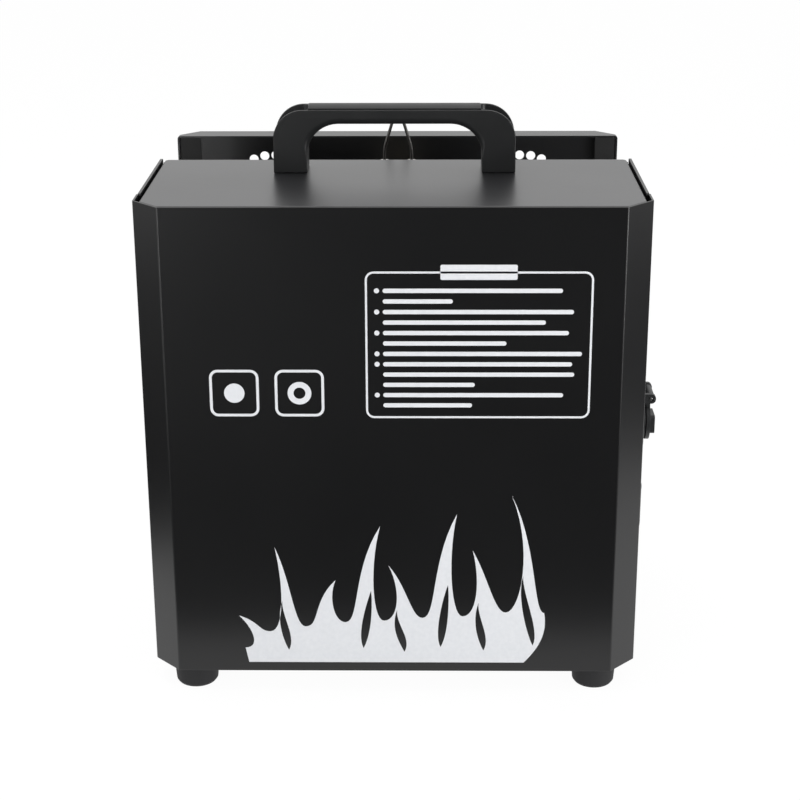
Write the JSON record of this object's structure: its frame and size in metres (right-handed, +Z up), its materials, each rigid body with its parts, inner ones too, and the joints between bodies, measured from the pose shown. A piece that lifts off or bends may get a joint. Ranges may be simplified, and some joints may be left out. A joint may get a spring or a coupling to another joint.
{
  "type": "stage flame machine",
  "caption": "Floor-standing stage flame machine: sheet-steel box with carry handle, open burner channel across the top, side panel fittings and a rear gas can door.",
  "frame": {"origin": "middle of the whole bounding box at floor level", "axes": "+X to the machine's right as seen from the front, +Y towards the rear cover and gas can door, +Z up; the front cover faces -Y"},
  "size_m": [0.3098, 0.232, 0.3491],
  "materials": {
    "black_coat": "satin black powder coat",
    "zinc_steel": "bright zinc plated",
    "bare_steel": "plain stainless steel",
    "black_plastic": "fine-grained black plastic",
    "grey_plastic": "matt dark grey plastic",
    "rubber": "matt black rubber",
    "brass": "turned brass",
    "copper": "drawn copper tube",
    "ceramic": "glazed white ceramic",
    "board_green": "green circuit board",
    "smoked_glass": "tinted clear window",
    "red_silicone": "red silicone cable"
  },
  "bodies": {
    "machine": {"front_cover": "black_coat", "rear_cover": "black_coat", "left_side_panel": "black_coat", "right_side_panel": "black_coat", "base_pan": "black_coat", "top_plate": "black_coat", "well_tray": "black_coat", "bulkhead": "zinc_steel", "left_bay_wall": "zinc_steel", "right_bay_wall": "zinc_steel", "left_handle_screw": "zinc_steel", "right_handle_screw": "zinc_steel", "valve_bracket": "zinc_steel", "power_supply": "zinc_steel", "door_hinge_fixed_leaf": "zinc_steel", "can_clip": "bare_steel", "burner_bracket": "bare_steel", "left_electrode": "bare_steel", "right_electrode": "bare_steel", "inlet_hinge_pin": "bare_steel", "door_hinge_pin": "bare_steel", "carry_handle": "black_plastic", "can_cup": "black_plastic", "display_module": "black_plastic", "control_plate": "black_plastic", "power_inlet": "black_plastic", "power_switch_body": "black_plastic", "fuse_holder": "black_plastic", "dmx_in_socket": "black_plastic", "dmx_out_socket": "black_plastic", "valve_coil": "grey_plastic", "igniter_module": "grey_plastic", "tilt_switch": "grey_plastic", "front_left_foot": "rubber", "front_right_foot": "rubber", "rear_left_foot": "rubber", "rear_right_foot": "rubber", "adaptor_seal": "rubber", "valve_body": "brass", "can_adaptor": "brass", "nozzle": "brass", "fuel_tube": "copper", "left_insulator": "ceramic", "right_insulator": "ceramic", "control_board": "board_green", "display_window": "smoked_glass", "left_ignition_lead": "red_silicone", "right_ignition_lead": "red_silicone"},
    "door": {"can_door": "black_coat", "door_hinge_moving_leaf": "zinc_steel"},
    "latch": {"door_latch": "zinc_steel", "latch_cam": "zinc_steel"},
    "inlet_flap": {"inlet_cover": "black_plastic"},
    "rocker": {"power_switch_rocker": "black_plastic"},
    "button_1": {"menu_button_1": "grey_plastic"},
    "button_2": {"menu_button_2": "grey_plastic"},
    "button_3": {"menu_button_3": "grey_plastic"},
    "button_4": {"menu_button_4": "grey_plastic"},
    "cap": {"fuse_cap": "black_plastic"},
    "release_tab": {"dmx_latch_tab": "bare_steel"}
  },
  "joints": [
    {"name": "can_door_hinge", "type": "hinge", "parent": "machine", "child": "door", "pos_m": [-0.0564, 0.1134, 0.12095], "axis": [0, 0, 1], "range_deg": [0, 120]},
    {"name": "door_latch_turn", "type": "hinge", "parent": "door", "child": "latch", "pos_m": [0.0321, 0.1105, 0.12095], "axis": [0, 1, 0], "range_deg": [0, 90]},
    {"name": "inlet_cover_hinge", "type": "hinge", "parent": "machine", "child": "inlet_flap", "pos_m": [0.1514, -0.06675, 0.18061], "axis": [0, -1, 0], "range_deg": [0, 110], "stiffness_Nm_per_rad": 0.01, "springref_deg": -17.19},
    {"name": "power_rocker", "type": "hinge", "parent": "machine", "child": "rocker", "pos_m": [0.1414, -0.03184, 0.16411], "axis": [0, -1, 0], "range_deg": [0, 20]},
    {"name": "menu_button_1_press", "type": "slide", "parent": "machine", "child": "button_1", "axis": [-1, 0, 0], "range_m": [0, 0.001], "stiffness_N_per_m": 500, "springref_m": -0.001},
    {"name": "menu_button_2_press", "type": "slide", "parent": "machine", "child": "button_2", "axis": [-1, 0, 0], "range_m": [0, 0.001], "stiffness_N_per_m": 500, "springref_m": -0.001},
    {"name": "menu_button_3_press", "type": "slide", "parent": "machine", "child": "button_3", "axis": [-1, 0, 0], "range_m": [0, 0.001], "stiffness_N_per_m": 500, "springref_m": -0.001},
    {"name": "menu_button_4_press", "type": "slide", "parent": "machine", "child": "button_4", "axis": [-1, 0, 0], "range_m": [0, 0.001], "stiffness_N_per_m": 500, "springref_m": -0.001},
    {"name": "fuse_cap_turn", "type": "hinge", "parent": "machine", "child": "cap", "pos_m": [0.1494, -0.00422, 0.16411], "axis": [1, 0, 0], "range_deg": [0, 90]},
    {"name": "dmx_latch_press", "type": "slide", "parent": "machine", "child": "release_tab", "axis": [-1, 0, 0], "range_m": [0, 0.001], "stiffness_N_per_m": 500, "springref_m": -0.001}
  ]
}
